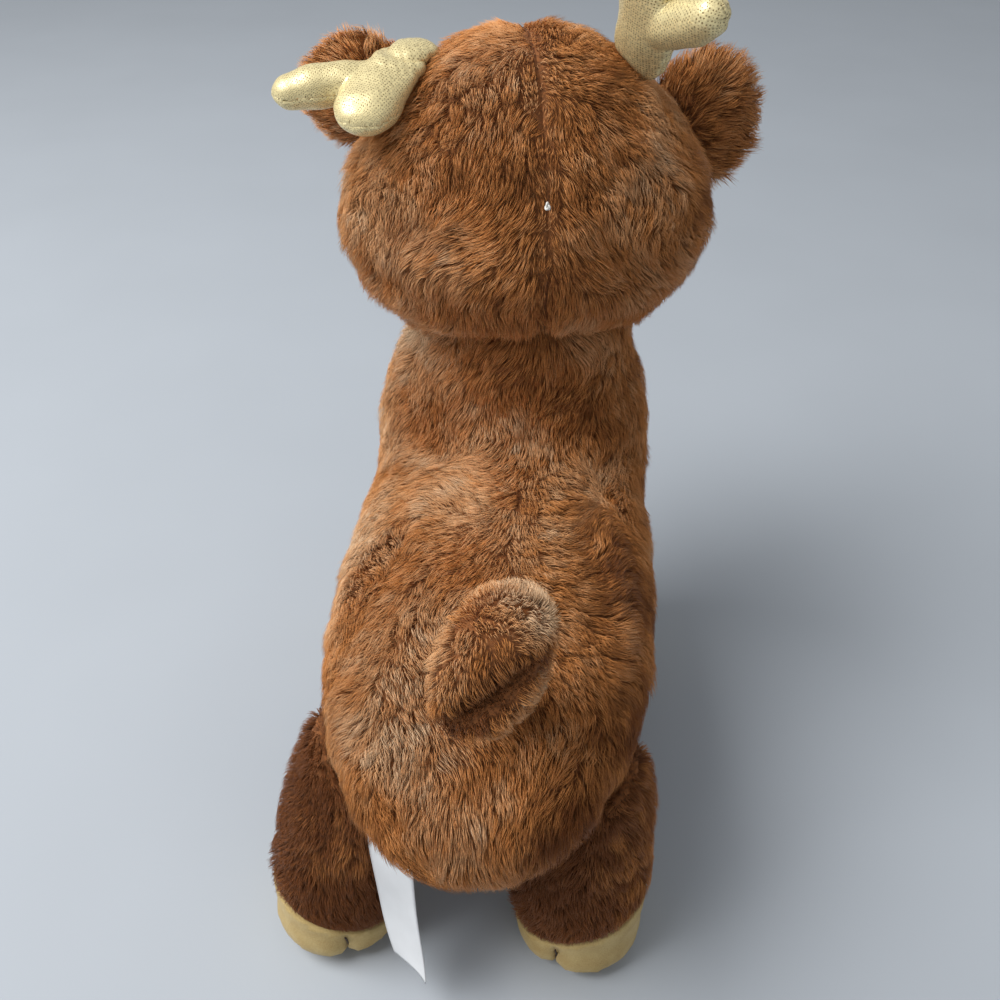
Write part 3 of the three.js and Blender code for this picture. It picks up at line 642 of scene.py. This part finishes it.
def grow(body, nodes, flow, seed, length=1.0, tone=0.0, covers=(), skip=(), swirl=1.0,
         lift=0.0, edge=None, whorls=(), parting=None, dense=1.0):
    """Grows a body's pile, one object or more for each of its panels.

    flow gives the lie of the nap at each point, covers are bodies that hide what lies inside,
    skip names the panels without pile, the pile is trimmed short of the node edge, whorls are
    places where it turns (a point, a reach and an angle), and parting gives how far each point
    lies from a seam that shows."""
    pile, cloth = sizes("pile"), sizes("cloth")
    draw = np.random.default_rng(seed)
    surface = surface_of(body)
    rise = EAR_RISE if body in EARS else cloth.rise
    share_sown = 1.0
    density = pile.density * dense * (1 + pile.under) * share_sown
    roots, normals, owners = sown(surface, density, draw, rise)
    panels = nearest_node(surface.centres(), nodes)[owners]
    kept = ~np.isin(panels, [nodes.index(s) for s in skip])
    for cover in covers:
        kept &= depth_in(roots, surface_of(cover)) < HIDDEN_DEPTH
    lengths = pile.length * length * draw.uniform(0.8, 1.15, len(roots))
    if edge:
        tree = node_tree(edge)
        near = np.where(roots[:, 2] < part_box(edge)[1].z + 0.012)[0]
        gaps = np.full(len(roots), 1.0)
        gaps[near] = [tree.find_nearest(Vector(roots[i]))[3] for i in near]
        kept &= gaps > TRIMMED_GAP
        lengths *= np.clip((gaps + 0.002) / 0.011, 0.25, 1)
    if parting:
        gaps = parting(roots)
        kept &= gaps > PARTING_GAP
        lengths *= np.clip(gaps / 0.006, 0.5, 1)
    roots, normals, panels, lengths = roots[kept], normals[kept], panels[kept], lengths[kept]
    count = len(roots)
    if callable(tone):
        tone = tone(roots, normals)

    ways = flow(roots, normals)
    ways = unit(ways - normals * (ways * normals).sum(1)[:, None])
    angles = pile.swirl * swirl * waves(roots, seed + 1, pile.swirl_size)
    angles += 0.24 * waves(roots, seed + 2, 0.3 * pile.swirl_size)
    for place, reach, turn in whorls:
        gap = np.linalg.norm(roots - place, axis=1) / reach
        angles += math.radians(turn) * np.exp(-(gap**2))
    angles += draw.normal(0, 0.14, count)
    ways = turned(ways, np.cross(normals, ways), angles)

    lengths = lengths * (1 + 0.12 * waves(roots, seed + 3, 0.02))
    root_lift = pile.root_lift + lift + 0.24 * waves(roots, seed + 4, 0.016)
    root_lift = root_lift + draw.normal(0, 0.1, count)
    tip_lift = pile.tip_lift + lift + 0.25 * waves(roots, seed + 5, 0.022)
    tip_lift = tip_lift + draw.normal(0, 0.12, count)
    half = lengths[:, None] / 2
    bends = roots + half * turned(ways, normals, root_lift)
    tips = bends + half * turned(ways, normals, tip_lift)

    clumps = max(1, int(count / (density * 1e4 * pile.clump**2)))
    heads = draw.choice(count, size=clumps, replace=False)
    tree = KDTree(len(heads))
    for number, head in enumerate(heads):
        tree.insert(Vector(roots[head]), number)
    tree.balance()
    mine = np.array([tree.find(Vector(p))[1] for p in roots])
    leader = heads[mine]
    pull = pile.pull * draw.uniform(0.3, 1.5, len(heads))[mine]
    tips += (tips[leader] - tips) * pull[:, None]
    bends += (bends[leader] - bends) * (0.4 * pull)[:, None]

    tones = MIDDLE_TONE + tone + 0.2 * waves(roots, seed + 6, 0.05)
    tones = tones + 0.09 * waves(roots, seed + 7, 0.014)
    tones += draw.normal(0, 0.08, len(heads))[mine] + draw.normal(0, 0.07, count)
    radii = pile.width * draw.uniform(0.75, 1.25, count) / math.sqrt(share_sown)
    sides = unit(np.cross(bends - roots, normals))
    rises = unit(np.cross(sides, bends - roots))
    bent = draw.random(count) < 1 / (1 + pile.under)
    roots = roots - normals * ROOT_DEPTH
    short = roots + (0.45 * (bends - roots) + 0.45 * (tips - roots))
    # The underpile's shine of 0.8 keeps its tips darker: painted shade under the bent tufts.
    kinds = (
        ("pile", bent, MOST_BENT, (roots, bends), tips, 1.0),
        ("underpile", ~bent, MOST_STRAIGHT, (roots,), short, 0.8),
    )
    for number, node in enumerate(nodes):
        for kind, chosen, most, rings, ends, shine in kinds:
            members = np.where((panels == number) & chosen)[0]
            for part in range(0, len(members), most):
                some = members[part:part + most]
                name = f"{node}_{kind}_{1 + part // most}"
                own = (values[some] for values in (ends, sides, rises, radii, tones))
                mesh = strand_mesh(name, [ring[some] for ring in rings], *own, shine)
                finished(new_piece(name, mesh), "pile", body)


def ease_seams(surface, owner, plane=None):
    """Draws the borders between owners into smooth lines on the surface, or onto a plane."""
    sides = {}
    for number, face in enumerate(surface.faces):
        for a, b in zip(face, face[1:] + face[:1]):
            sides.setdefault((min(a, b), max(a, b)), []).append(owner[number])
    border = np.array([edge for edge, both in sides.items() if len(set(both)) > 1])
    if not len(border):
        return
    line = np.unique(border)
    place = {vertex: row for row, vertex in enumerate(line)}
    ties = np.array([[place[a], place[b]] for a, b in border])
    spots = surface.points[line]
    for _ in range(24):
        spots += 0.5 * to_neighbours(spots, ties)
        if plane is not None:
            spots -= plane[1] * ((spots - plane[0]) @ plane[1])[:, None]
    ends = surface.points[surface.edges]
    reach = 1.3 * np.linalg.norm(ends[:, 0] - ends[:, 1], axis=1).mean()
    moved = spots - surface.points[line]
    lengths = np.linalg.norm(moved, axis=1, keepdims=True)
    moved *= np.minimum(1, reach / np.maximum(lengths, 1e-9))
    for vertex, spot in zip(line, surface.points[line] + moved):
        surface.points[vertex] = surface.tree.find_nearest(Vector(spot))[0]
    surface.refresh()


def panels_of(body, panels, plane=None, cells=None):
    """The body's cloth panels, closed on all sides.

    panels gives each node's finish and how high and thick its cloth is, and cells the texture
    cells of the surface's points."""
    surface = surface_of(body)
    owner = nearest_node(surface.centres(), list(panels))
    ease_seams(surface, owner, plane)
    for number, (node, (finish, rise, thickness)) in enumerate(panels.items()):
        faces = np.where(owner == number)[0]
        used = sorted({i for f in faces for i in surface.faces[f]})
        index = {old: new for new, old in enumerate(used)}
        rise = np.broadcast_to(rise, len(surface.points))
        layers = [surface.raised(height)[used] for height in (rise, rise - thickness)]
        rings = [[index[i] for i in surface.faces[f]] for f in faces]
        closed = two_sided(rings, len(used))
        piece = shape_piece(node + "_cloth", np.concatenate(layers), closed)
        if cells is not None:
            lay_cells(piece.data, "Knit", cells[used])
        finished(piece, finish, body, node)


def backing_cloth(finish="backing"):
    """The finish of a body's cloth, and how high and thick it lies over the filling."""
    cloth = sizes("cloth")
    return finish, cloth.rise, cloth.thickness


def joint_of(body, value):
    """The place or the axis of the joint that a body turns on."""
    return np.array(next(j for j in frame["joints"] if j["child"] == body)[value])


def pivot_of(body):
    return joint_of(body, "pos_m")


# The deer's pieces

CAMERA_PLACE = Vector(pivot_of("head")) + Vector((-0.027, 0.398, 0.223))
# From the pivot of the head to the knot, and from the tail's to the fold under its curl
KNOT_PLACE = np.array([-0.0109, 0.0547, 0.0775])
FOLD_PLACE = np.array([-0.0052, 0.0366, 0.0627])
FOLD_WAY = unit(np.array([0.65, -0.45, 0.62]))
FOLD_BACK = np.array([0.0, 0.8, 0.6])
FOLD_DEPTH, FOLD_WIDTH, FOLD_LIP = 0.0105, 0.0044, 0.0024
EAR_SINK, EAR_SINK_REACH = 0.009, 0.008
KNIT_CLOTH = ("knit", 0.0015, 0.0012)
SEAM_WIDTH, SEAM_LIP, PUCKER_PITCH = 0.0008, 0.0005, 0.0046
BUTTON_GRAIN, WASHER_GRAIN = 0.0006, 0.0005
THREAD, MOUTH_THREAD = 0.0004, 0.0005
HOOF_BULGE = 0.0022


class DEER_OT_torso(bpy.types.Operator):
    """Make the body's filling, its panels and their pile"""

    bl_idname = "deer.torso"
    bl_label = "Torso"

    def execute(self, context):
        surface = surface_of("torso")
        neck = pivot_of("head")
        y, z = surface.points[:, 1], surface.points[:, 2]
        nape_gap = np.hypot(y - neck[1] - 0.058, z - neck[2] + 0.035) / 0.05
        surface.soften(np.clip(1.6 - nape_gap, 0, 1), 130)
        padded_fill("torso")
        nodes = ["torso_left_panel", "torso_right_panel", "belly_panel"]
        panels_of("torso", dict.fromkeys(nodes, backing_cloth()))
        low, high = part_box("belly_panel")
        middle = (low.x + high.x) / 2

        def flow(points, normals):
            """Back along the barrel and down its sides and its chest, parted at the back seam."""
            ways = np.tile([0.0, 0.75, -0.45], (len(points), 1))
            offset = points[:, 0] - middle
            ways[:, 0] += 0.35 * np.tanh(offset / 0.02) * np.clip(normals[:, 2], 0, 1)
            ways[:, 2] -= 0.5 * (1 - np.clip(normals[:, 2], 0, 1))
            rise = np.clip((points[:, 2] - 0.15) / 0.03, 0, 1)
            ways[:, 1] *= 1 - 0.8 * rise
            ways[:, 2] -= 0.8 * rise
            return ways

        def tone(points, normals):
            """Painted light and shade: paler on the left and on top, which face the window lamp,
            and browner on the right and under the rump, where shade falls.
            """
            left = np.clip(normals @ np.array([0.65, 0.1, 0.7]), 0, 1)
            right = np.clip(-normals[:, 0], 0, 1)
            painted_shade_below = np.clip((0.15 - points[:, 2]) / 0.05, 0, 1)
            return 0.2 * left - 0.14 * right - 0.22 * painted_shade_below

        whorls = [
            (neck + (-0.038, 0.080, -0.047), 0.022, 120),
            (neck + (0.016, 0.078, -0.039), 0.02, -70),
            (neck + (-0.050, 0.135, -0.070), 0.03, 55),
        ]
        grow("torso", nodes, flow, seed=11, tone=tone, covers=("head",), whorls=whorls)
        return {"FINISHED"}


class DEER_OT_head(bpy.types.Operator):
    """Make the head's filling, its fur panels, its velour muzzle and the knot on its seam"""

    bl_idname = "deer.head"
    bl_label = "Head"

    def execute(self, context):
        surface = surface_of("head")
        padded_fill("head")
        nodes = ["head_left_panel", "head_right_panel", "muzzle_panel"]
        panels = dict.fromkeys(nodes, backing_cloth())
        panels["muzzle_panel"] = backing_cloth("velour")
        panels_of("head", panels)
        pivot = pivot_of("head")
        axis = joint_of("head", "axis")
        ahead = unit(np.cross(UP, axis)) * -1.0

        def flow(points, normals):
            """Down from the crown, away from the seam, and back from the face."""
            aside = (points - pivot) @ axis
            ways = np.tile([0.0, 0.0, -1.0], (len(points), 1))
            ways += np.tanh(aside / 0.02)[:, None] * 0.55 * axis
            front = np.clip(normals @ ahead, 0, 1)
            ways += front[:, None] * np.array([0.0, 0.0, 1.4])
            ways -= 0.25 * ahead
            return ways

        def from_seam(points):
            return np.abs((points - pivot) @ axis) + 0.0004

        # Painted shade: the pile on the deer's right side of the head, away from the window lamp,
        # is darker.
        def tone(points, normals):
            return 0.06 - 0.18 * np.clip(-normals @ axis, 0, 1)

        grow("head", nodes, flow, seed=23, tone=tone, skip=("muzzle_panel",), covers=("torso",),
             parting=from_seam)
        start, out, _, _ = surface.tree.find_nearest(Vector(pivot + KNOT_PLACE))
        side, over = Vector(axis), out.cross(Vector(axis))
        path = []
        for step in range(49):
            turn = 2 * math.pi * step / 48
            x = math.sin(turn) + 2 * math.sin(2 * turn)
            y = math.cos(turn) - 2 * math.cos(2 * turn)
            lifted = start + out * (0.0075 - 0.0006 * math.sin(3 * turn))
            path.append(lifted + (side * 0.6 * x + over * y) * 0.00045)
        finished(tube("head_seam_knot", path, THREAD), "knot", "head")
        return {"FINISHED"}


class DEER_OT_face(bpy.types.Operator):
    """Make the eyes, the nose, their washers and the mouth stitch"""

    bl_idname = "deer.face"
    bl_label = "Face"

    def execute(self, context):
        for node in ("eye_left", "eye_right", "nose"):
            button = rounded(node + "_button", [node], BUTTON_GRAIN, 4)
            finished(button, "plastic", "head", node)
            washer = rounded(node + "_lock_washer", [node + "_washer"], WASHER_GRAIN, 1)
            finished(washer, "washer", "head", node + "_washer")
        surface = surface_of("head")
        stitch = node_points("mouth_stitch")
        order = np.argsort(stitch @ joint_of("head", "axis"))
        centres = np.array([part.mean(0) for part in np.array_split(stitch[order], 9)])
        steps = np.linspace(0, 8, 33)
        path = []
        for place in np.stack([np.interp(steps, range(9), centres[:, k]) for k in range(3)], 1):
            spot, out, _, _ = surface.tree.find_nearest(Vector(place))
            path.append(spot + out * (sizes("cloth").rise + 0.0002))
        finished(tube("mouth_line", path, MOUTH_THREAD), "thread", "head", "mouth_stitch")
        return {"FINISHED"}


class DEER_OT_ears(bpy.types.Operator):
    """Make both ears: a furry back and a velour lining"""

    bl_idname = "deer.ears"
    bl_label = "Ears"

    def execute(self, context):
        head = surface_of("head")
        for number, ear in enumerate(EARS):
            nodes = [ear + "_back", ear + "_lining"]
            surface = surface_of(ear)
            surface.points = surface.raised(-0.0012)
            depths = depth_in(surface.points, head)
            sunk = EAR_SINK * np.clip(1 + depths / EAR_SINK_REACH, 0, 1)
            surface.points += unit(head.points.mean(0) - surface.points) * sunk[:, None]
            surface.refresh()
            panels = {
                nodes[0]: ("backing", EAR_RISE, EAR_CLOTH),
                nodes[1]: ("velour", 0.0, EAR_CLOTH),
            }
            panels_of(ear, panels)
            pivot = pivot_of(ear)
            outward = 0.012 * unit(surface.points.mean(0) - pivot)

            def flow(points, normals):
                return points - pivot + outward

            grow(ear, nodes, flow, seed=31 + 10 * number, length=(0.8, 1.0)[number], tone=-0.08,
                 skip=(nodes[1],), covers=("head",), swirl=0.7, lift=-0.2)
        return {"FINISHED"}


class DEER_OT_antlers(bpy.types.Operator):
    """Make both antlers: stuffed gold knit, sewn round the edge"""

    bl_idname = "deer.antlers"
    bl_label = "Antlers"

    def execute(self, context):
        cloth = sizes("cloth")
        for antler in ANTLERS:
            front, back = antler + "_front", antler + "_back"
            surface = surface_of(antler)
            padded_fill(antler)
            pivot, across = pivot_of(antler), unit(joint_of(antler, "axis"))
            through = node_points(back).mean(0) - node_points(front).mean(0)
            through = unit(through - across * (through @ across))
            up = np.cross(across, through)
            offset = (surface.points - pivot) @ through
            run = (surface.points - pivot) @ up + (surface.points - pivot) @ across
            cells = knit_cells(surface, pivot, across, up, cloth.knit_pitch)
            near = np.exp(-((offset / 0.004) ** 2))
            pucker = 0.00012 * near * np.sin(run * 2 * math.pi / PUCKER_PITCH)
            groove = cloth.seam * np.exp(-((offset / SEAM_WIDTH) ** 2))
            lip = SEAM_LIP * np.exp(-(((np.abs(offset) - 0.0019) / SEAM_WIDTH) ** 2))
            creases = 0.00025 * waves(surface.points, 71, 0.012) + pucker
            surface.points = surface.raised(creases + lip - groove)
            surface.refresh()
            panels_of(antler, dict.fromkeys((front, back), KNIT_CLOTH), (pivot, through), cells)
        return {"FINISHED"}


def knit_cells(surface, pivot, across, up, pitch):
    """The knit's rows at a surface's points, as if the panel still lay flat, one unit a row."""
    through = np.cross(up, across)
    offset = surface.points - pivot
    facing = np.clip(np.abs(surface.normals @ through), 0, 1)
    slope = np.arccos(facing)
    thick = 0.85 * np.abs(offset @ through).max()
    aside = unit(surface.normals - through * (surface.normals @ through)[:, None])
    flat = offset + aside * (thick * (slope - np.sin(slope)))[:, None]
    return np.stack([flat @ across, flat @ up], 1) / pitch


class DEER_OT_legs(bpy.types.Operator):
    """Make the four legs: filling, fur tube, velour hoof and cleft stitch"""

    bl_idname = "deer.legs"
    bl_label = "Legs"

    def execute(self, context):
        cloth = sizes("cloth")
        for number, leg in enumerate(LEGS):
            surface = surface_of(leg)
            nodes = [leg + "_fur", leg + "_hoof"]
            cleft = node_points(leg + "_cleft_stitch")
            foot = node_points(leg + "_hoof").mean(0)
            behind = unit((cleft.mean(0) - foot) * (1, 1, 0))
            aside = np.cross(UP, behind)
            top = cleft[:, 2].max() + 0.004
            offset = surface.points - foot
            near = np.exp(-((offset @ aside / 0.003) ** 2)) * np.clip(offset @ behind / 0.012, 0, 1)
            dent = cloth.cleft * near * np.clip((top + 0.004 - surface.points[:, 2]) / 0.012, 0, 1)
            surface.points = surface.raised(-dent)
            surface.points[:, 2] = np.maximum(surface.points[:, 2], cloth.velour_rise + 0.0002)
            surface.refresh()
            padded_fill(leg)
            upright = 1 - np.abs(surface.normals[:, 2])
            low = np.clip((0.022 - surface.points[:, 2]) / 0.014, 0, 1)
            bulge = HOOF_BULGE * np.clip(1.6 * upright, 0, 1) * low * (1 - 0.7 * near)
            velour = ("velour", cloth.velour_rise + bulge, cloth.velour_rise)
            panels_of(leg, {nodes[0]: backing_cloth(), nodes[1]: velour})
            path = []
            for height in np.linspace(0.004, top, 24):
                start = Vector((*foot[:2], height))
                spot, out, _, _ = surface.tree.ray_cast(start, Vector(behind))
                path.append(spot + out * (cloth.velour_rise + 0.0011))
            line = tube(leg + "_cleft_line", path, THREAD)
            finished(line, "thread", leg, leg + "_cleft_stitch")

            def flow(points, normals):
                return np.tile([0.0, 0.0, -1.0], (len(points), 1))

            # The leg pile is made much darker: painted shade under the body.
            grow(leg, nodes, flow, seed=51 + 10 * number, length=0.85, tone=-0.55,
                 skip=(nodes[1],), covers=("torso",), swirl=0.6, edge=nodes[1])
        return {"FINISHED"}


class DEER_OT_tail(bpy.types.Operator):
    """Make the tail, which stands up and curls over"""

    bl_idname = "deer.tail"
    bl_label = "Tail"

    def execute(self, context):
        surface = surface_of("tail")
        root = pivot_of("tail")
        fold = root + FOLD_PLACE
        offset = surface.points - fold
        outside = np.clip(offset @ FOLD_BACK / 0.012 + 1, 0, 1)
        above = offset @ FOLD_WAY
        lips = sum(np.exp(-(((above - lip) / 0.006) ** 2)) for lip in (0.011, -0.010))
        dent = FOLD_DEPTH * np.exp(-((above / FOLD_WIDTH) ** 2)) - FOLD_LIP * lips
        surface.points = surface.raised(-dent * outside)
        surface.refresh()
        padded_fill("tail")
        nodes = ["tail_upper_panel", "tail_lower_panel"]
        panels_of("tail", dict.fromkeys(nodes, backing_cloth()))

        def flow(points, normals):
            """Up the stem, then over the curl and down to its tip."""
            over = np.clip((points[:, 1] - root[1] - 0.008) / 0.014, 0, 1)[:, None]
            under = np.clip((fold - points) @ FOLD_WAY / 0.004, 0, 1)[:, None]
            down = (1 - under) * np.array([-0.35, 0.5, -1.0]) + under * np.array([-0.8, 0.3, -0.9])
            return (1 - over) * np.array([0.0, 0.1, 1.0]) + over * down

        def from_fold(points):
            """How far points lie from the bottom of the fold."""
            above, behind = (points - fold) @ FOLD_WAY, (points - fold) @ FOLD_BACK
            return np.where(behind > -0.012, np.abs(above) + 0.0012, 1.0)

        def tone(points, normals):
            """Paler over the top and on the left as painted light from the window lamp, and browner
            towards the fold as painted shade in its crease.
            """
            near = np.exp(-(((points - fold) @ FOLD_WAY / 0.0045) ** 2))
            lit = np.clip(normals @ np.array([0.8, -0.1, 0.6]), 0, 1)
            return 0.24 + 0.08 * lit - 0.9 * near

        grow("tail", nodes, flow, seed=97, length=0.56, tone=tone, covers=("torso",), swirl=0.5,
             lift=0.4, parting=from_fold, dense=1.5)
        return {"FINISHED"}


class DEER_OT_label(bpy.types.Operator):
    """Make the bare satin label that hangs under the rump"""

    bl_idname = "deer.label"
    bl_label = "Label"

    def execute(self, context):
        pivot = pivot_of("care_label")
        across = unit(joint_of("care_label", "axis"))
        back = np.array([0.0, 1.0, 0.0])
        up = np.cross(across, back)
        local = node_points("care_label") - pivot
        half_width = np.abs(local @ across).max()
        fall = -(local @ up).min()
        reach = (local @ back)[(local @ up) < -0.95 * fall].mean()
        rows, columns, half = 48, 14, 0.0003
        points = []
        for side in (1, -1):
            for row in range(rows + 1):
                t = row / rows
                down = 2 * (1 - t) * t * 0.6 * fall + t * t * fall
                out = t * t * reach
                turn = -math.radians(22 + 20 * t * t)
                wide_way = across * math.cos(turn) + back * math.sin(turn)
                face_way = back * math.cos(turn) - across * math.sin(turn)
                tuck = 0.007 * (1 - t) ** 5
                for column in range(columns + 1):
                    s = 2 * column / columns - 1
                    curl = 0.0012 * s * s * t + 0.0005 * math.sin(7 * t + 2.1 * s)
                    spot = pivot + wide_way * (s * half_width) + face_way * (curl + side * half)
                    spot = spot + across * 0.0016 * math.sin(3 * t)
                    points.append(spot - up * down + back * (out - tuck))
        wide = columns + 1
        corners = [row * wide + column for row in range(rows) for column in range(columns)]
        rings = [[a, a + 1, a + 1 + wide, a + wide] for a in corners]
        number = np.arange(wide * (rows + 1))
        piece = shape_piece("label_tape", points, two_sided(rings, len(number)))
        over, along = (number % wide) / columns, (number // wide) / rows
        lay_cells(piece.data, "Weave", np.stack([over * 2 * half_width, along * fall], 1))
        finished(piece, "satin", "care_label", "care_label")
        return {"FINISHED"}


# The stage


class DEER_OT_stage(bpy.types.Operator):
    """Set up the floor, the lamps and the camera"""

    bl_idname = "deer.stage"
    bl_label = "Stage"

    def execute(self, context):
        stage = sizes("stage")
        reach = 6.0
        corners = [(x * reach, y * reach, 0) for x, y in ((-1, -1), (1, -1), (1, 1), (-1, 1))]
        floor = shape_piece("floor", corners, [(0, 1, 2, 3)])
        stops = ((0.3, 0.97), (0.7, 1.0))
        paint = mottled_material("deer_floor", stage.floor, 7.0, 2.0, stops, None, Roughness=0.7)
        floor.data.materials.append(paint)

        world = bpy.data.worlds.new("deer_sky")
        bpy.context.scene.world = world
        world.use_nodes = True
        back = world.node_tree.nodes["Background"]
        back.inputs["Color"].default_value = (0.93, 0.96, 1.0, 1.0)
        back.inputs["Strength"].default_value = stage.sky

        aim = Vector((0.0, 0.03, 0.16))
        for name, place, power, wide in (
            ("window", Vector((1.15, 0.34, 1.75)), stage.key, 1.3),
            ("bounce", Vector((-0.9, 0.7, 0.9)), stage.fill, 1.2),
        ):
            lamp = bpy.data.lights.new(name, "AREA")
            lamp.energy = power
            lamp.size = wide
            holder = new_piece(name, lamp)
            holder.location = place
            holder.rotation_euler = (aim - place).to_track_quat("-Z", "Y").to_euler()

        camera = bpy.data.cameras.new("camera")
        camera.lens = stage.lens
        camera.sensor_width = 36.0
        camera.clip_start = 0.01
        view = new_piece("camera", camera)
        pitch, turn = stage.pitch, stage.turn
        level = math.cos(pitch)
        back = Vector((math.sin(turn) * level, -math.cos(turn) * level, math.sin(pitch)))
        view.location = CAMERA_PLACE
        view.rotation_euler = back.to_track_quat("Z", "Y").to_euler()
        bpy.context.scene.camera = view
        bpy.context.scene.view_settings.view_transform = "Standard"
        return {"FINISHED"}


STEPS = (
    DEER_OT_stage,
    DEER_OT_torso,
    DEER_OT_head,
    DEER_OT_face,
    DEER_OT_ears,
    DEER_OT_antlers,
    DEER_OT_legs,
    DEER_OT_tail,
    DEER_OT_label,
)


class DEER_PT_panel(bpy.types.Panel):
    """The deer's steps in the sidebar."""

    bl_idname = "DEER_PT_panel"
    bl_label = "Plush deer"
    bl_space_type = "VIEW_3D"
    bl_region_type = "UI"
    bl_category = "Plush deer"

    def draw(self, context):
        for step in STEPS:
            self.layout.operator(step.bl_idname)
        for name, group in GROUPS.items():
            box = self.layout.box()
            box.label(text=group.__doc__)
            for key in group.__annotations__:
                box.prop(getattr(context.scene, name), key)


def register():
    for kind in (*GROUPS.values(), *STEPS, DEER_PT_panel):
        bpy.utils.register_class(kind)
    for name, group in GROUPS.items():
        setattr(bpy.types.Scene, name, PointerProperty(type=group))


def unregister():
    for name in GROUPS:
        delattr(bpy.types.Scene, name)
    for kind in reversed((*GROUPS.values(), *STEPS, DEER_PT_panel)):
        bpy.utils.unregister_class(kind)


def main():
    register()
    for step in STEPS:
        group, name = step.bl_idname.split(".")
        getattr(getattr(bpy.ops, group), name)()
    bpy.context.view_layer.update()


if __name__ == "__main__":
    main()
